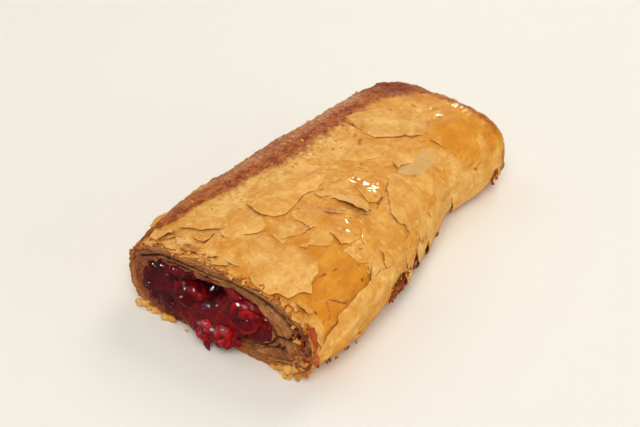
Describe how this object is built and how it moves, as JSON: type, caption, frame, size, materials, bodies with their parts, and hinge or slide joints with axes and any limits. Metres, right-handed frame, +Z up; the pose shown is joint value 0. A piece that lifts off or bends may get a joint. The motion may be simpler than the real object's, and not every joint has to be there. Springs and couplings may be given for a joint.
{
  "type": "cherry strudel",
  "caption": "Flattened roll of thin flaky pastry filled with cherries, cut across at one end and closed at the other.",
  "frame": {"origin": "middle of the flat underside, half way along the pastry", "axes": "+Y along the roll from the cut end to the closed end, +X to the right as seen from the cut end, +Z up"},
  "size_m": [0.0959, 0.1706, 0.0385],
  "materials": {
    "crust": "satin",
    "jelly": "gloss",
    "fruit": "gloss"
  },
  "bodies": {
    "root": {"pastry": "crust", "cherry_filling": "jelly", "cherry_left": "fruit", "cherry_right": "fruit", "cherry_low_left": "fruit", "cherry_low_right": "fruit"}
  },
  "joints": []
}
